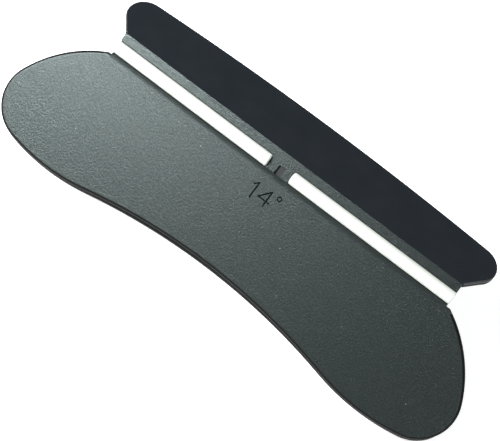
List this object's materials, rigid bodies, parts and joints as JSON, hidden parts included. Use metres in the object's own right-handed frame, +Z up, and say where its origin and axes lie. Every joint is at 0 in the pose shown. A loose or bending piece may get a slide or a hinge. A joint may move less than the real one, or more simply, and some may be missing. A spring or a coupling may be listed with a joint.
{
  "type": "sharpening angle guide",
  "caption": "Spring-hinged clip with kidney-shaped plates, finger wings and ceramic slide rods that hold a knife at a fixed angle on a flat stone.",
  "frame": {"origin": "under the middle of the guide, at the height of the surface it lies on with its rear rods and rear lobes down", "axes": "+X along the guide, parallel to the hinge and the rods; +Y from the mouth towards the finger wings; +Z up"},
  "size_m": [0.124, 0.046, 0.0237],
  "materials": {
    "jaw_plastic": "fine matte grain on plate and ridge, smoother satin wings",
    "ceramic": "ground white ceramic",
    "steel": "bright drawn steel",
    "spring_steel": "oiled spring steel"
  },
  "bodies": {
    "rear": {"rear_jaw": "jaw_plastic", "hinge_pin": "steel", "retaining_ring": "spring_steel", "left_spring": "spring_steel", "right_spring": "spring_steel", "rear_left_rod": "ceramic", "rear_right_rod": "ceramic"},
    "front": {"front_jaw": "jaw_plastic", "front_left_rod": "ceramic", "front_right_rod": "ceramic"}
  },
  "joints": [
    {"name": "jaw_hinge", "type": "hinge", "parent": "rear", "child": "front", "pos_m": [0, 0.00614, 0.0114], "axis": [-1, 0, 0], "range_deg": [0, 20], "stiffness_Nm_per_rad": 0.2, "springref_deg": -28.65, "deforming": ["left_spring", "right_spring"]}
  ]
}
